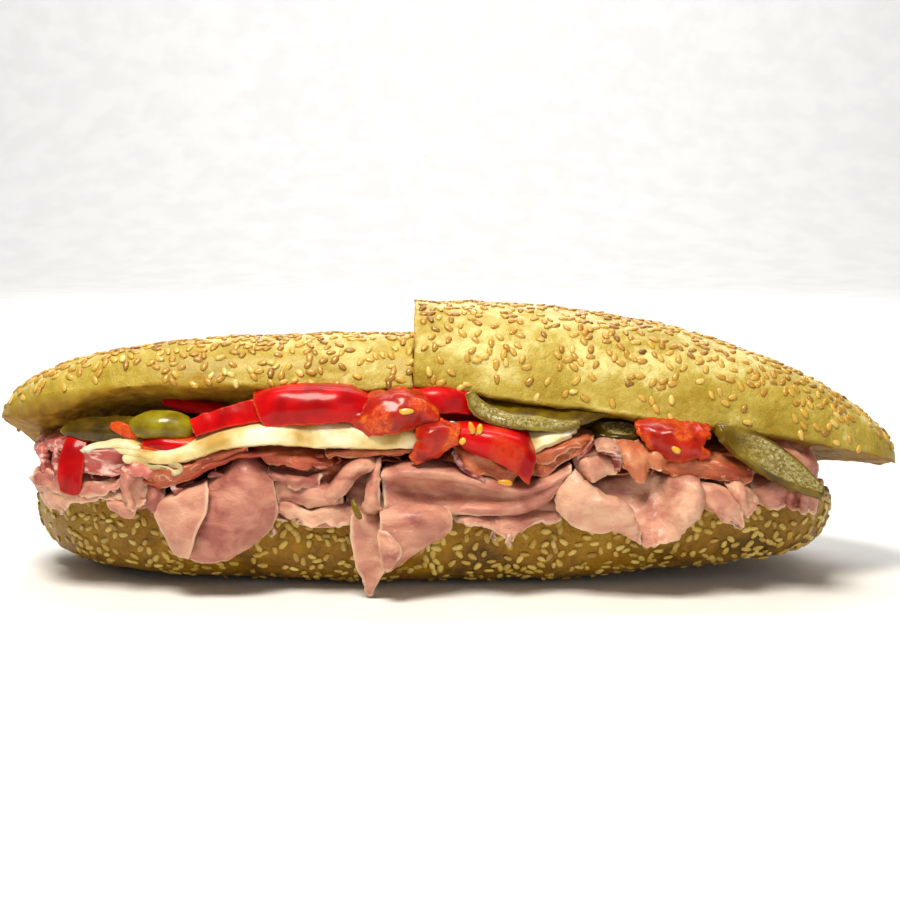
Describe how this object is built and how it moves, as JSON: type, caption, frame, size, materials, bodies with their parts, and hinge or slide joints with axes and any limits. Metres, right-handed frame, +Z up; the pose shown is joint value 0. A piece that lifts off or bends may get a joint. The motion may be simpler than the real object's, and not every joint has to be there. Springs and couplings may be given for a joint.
{
  "type": "submarine sandwich",
  "caption": "Long sesame-seeded roll cut open along the front and filled with folded ham, thin cured meat, sliced cheese, red pepper strips, tomato and pickle slices.",
  "frame": {"origin": "middle of the underside, under the centre of the whole's bounding box", "axes": "+X along the roll, -Y the open front where the filling shows, +Z up"},
  "size_m": [0.2755, 0.1014, 0.0851],
  "materials": {
    "crust": "baked bread crust with sesame seeds",
    "ham": "moist sliced boiled ham",
    "cured": "thin cured meat marbled with fat",
    "cheese": "pale sliced cheese",
    "pepper": "wet roasted red pepper skin",
    "tomato": "wet tomato flesh",
    "pickle": "wet pickled cucumber"
  },
  "bodies": {
    "root": {"roll_base": "crust", "roll_lid_left": "crust", "roll_lid_right": "crust", "ham_bed_end": "ham", "ham_bed_left": "ham", "ham_bed_middle": "ham", "ham_bed_right": "ham", "ham_curl_left": "ham", "ham_drape_centre": "ham", "ham_drape_left": "ham", "ham_flap_right": "ham", "ham_fold_back": "ham", "ham_fold_back_end": "ham", "ham_frill_end": "ham", "ham_frill_right": "ham", "ham_hanging_tip": "ham", "ham_pleat_left": "ham", "ham_pocket_right": "ham", "ham_roll_small": "ham", "ham_tuck_middle": "ham", "cured_centre": "cured", "cured_fold_left": "cured", "cured_left_end": "cured", "cured_right_end": "cured", "cured_rim_centre": "cured", "cured_ring_right": "cured", "cured_ruffle_middle": "cured", "cured_ruffle_right": "cured", "cured_slice_left": "cured", "cured_slope_end": "cured", "cured_slope_right": "cured", "cured_under_left": "cured", "cheese_left": "cheese", "cheese_right": "cheese", "cheese_upper": "cheese", "pepper_bent": "pepper", "pepper_centre": "pepper", "pepper_dark": "pepper", "pepper_hanging": "pepper", "pepper_large": "pepper", "pepper_long": "pepper", "pepper_right": "pepper", "pepper_small": "pepper", "tomato_drip": "tomato", "tomato_left": "tomato", "tomato_right": "tomato", "pickle_back": "pickle", "pickle_centre": "pickle", "pickle_front": "pickle", "pickle_inner": "pickle", "pickle_right": "pickle"}
  },
  "joints": []
}
